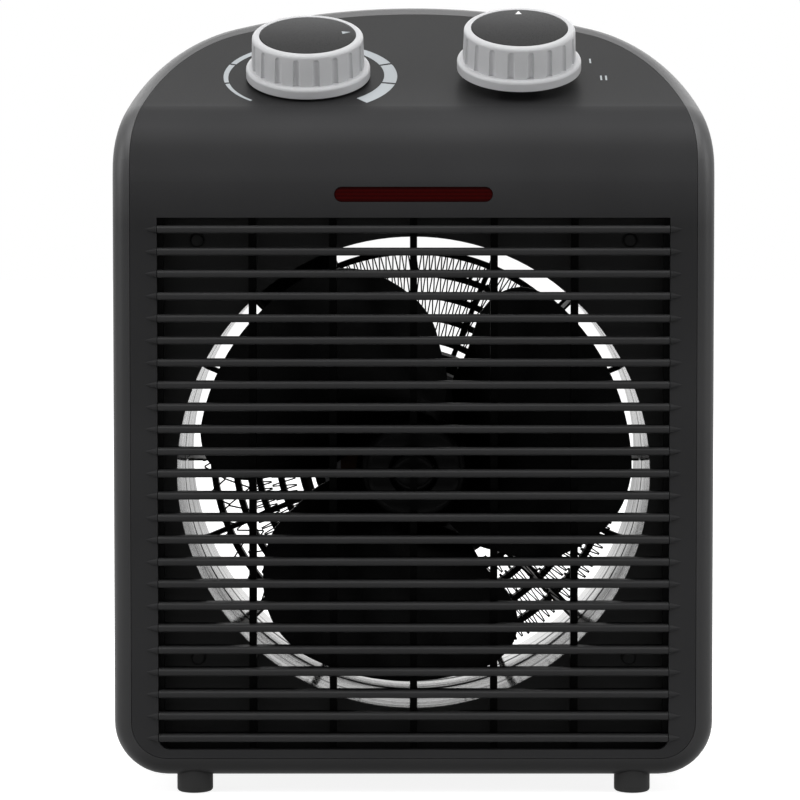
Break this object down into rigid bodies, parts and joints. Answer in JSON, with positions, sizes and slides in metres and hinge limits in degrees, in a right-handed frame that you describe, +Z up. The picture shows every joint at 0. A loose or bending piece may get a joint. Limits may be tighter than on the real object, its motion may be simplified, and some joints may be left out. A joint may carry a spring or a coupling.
{
  "type": "fan heater",
  "caption": "Upright fan heater with a louvred outlet, sloping control panel, fluted knobs and a round rear intake.",
  "frame": {"origin": "on the floor under the middle of the heater's box", "axes": "+Z up, the outlet faces -Y, +X to the right of a viewer in front"},
  "size_m": [0.2, 0.112, 0.2667],
  "materials": {
    "casing_black": "fine satin moulded texture",
    "cover_black": "smooth satin",
    "grille_black": "smooth satin",
    "inner_black": "matte, heat resistant",
    "knob_grey": "satin light grey",
    "cap_grey": "satin dark grey",
    "lens_red": "translucent red",
    "lamp_glass": "clear glass",
    "duct_metal": "bright rolled sheet",
    "fan_black": "gloss",
    "steel": "plain steel",
    "black_screw": "black oxide",
    "laminations": "stacked sheet",
    "copper": "enamelled copper wire",
    "bronze": "sintered bronze",
    "mica": "layered mica sheet",
    "heating_wire": "oxidised resistance wire",
    "foot_rubber": "matte",
    "white_plastic": "plain",
    "control_black": "plain"
  },
  "bodies": {
    "casing": {"rear_shell": "casing_black", "front_cover": "cover_black", "front_grille": "grille_black", "indicator_lens": "lens_red", "lamp_holder": "control_black", "indicator_lamp": "lamp_glass", "baffle_plate": "inner_black", "baffle_screws": "black_screw", "cover_screws": "steel", "rear_grille": "grille_black", "rear_grille_screws": "black_screw", "heat_duct": "duct_metal", "motor_stator": "laminations", "motor_coils": "copper", "motor_front_bridge": "steel", "motor_rear_bridge": "steel", "motor_front_bush": "bronze", "motor_rear_bush": "bronze", "motor_screws": "steel", "mica_hub": "mica", "mica_cards": "mica", "thermal_fuse": "white_plastic", "thermal_cutout": "control_black", "cord_gland": "casing_black", "cord_clamp": "control_black", "clamp_screws": "steel", "terminal_block": "white_plastic", "element_wire_1": "heating_wire", "element_wire_2": "heating_wire", "element_wire_3": "heating_wire", "element_wire_4": "heating_wire", "thermostat_body": "control_black", "thermostat_nut": "steel", "switch_body": "control_black", "switch_nut": "steel", "left_front_foot": "foot_rubber", "left_rear_foot": "foot_rubber", "right_front_foot": "foot_rubber", "right_rear_foot": "foot_rubber"},
    "fan_rotor": {"fan": "fan_black", "fan_nut": "fan_black", "motor_shaft": "steel", "motor_rotor": "laminations"},
    "thermostat_dial": {"thermostat_knob": "knob_grey", "thermostat_knob_cap": "cap_grey", "thermostat_spindle": "control_black"},
    "switch_dial": {"switch_knob": "knob_grey", "switch_knob_cap": "cap_grey", "switch_spindle": "control_black"}
  },
  "joints": [
    {"name": "fan_spin", "type": "hinge", "parent": "casing", "child": "fan_rotor", "pos_m": [0, -0.015, 0.1061], "axis": [0, -1, 0], "continuous": true},
    {"name": "thermostat_turn", "type": "hinge", "parent": "casing", "child": "thermostat_dial", "pos_m": [-0.036, -0.01636, 0.23984], "axis": [0, -0.421, 0.907], "range_deg": [-66, 224]},
    {"name": "switch_turn", "type": "hinge", "parent": "casing", "child": "switch_dial", "pos_m": [0.036, -0.01636, 0.23984], "axis": [0, -0.421, 0.907], "range_deg": [-90, 0]}
  ]
}
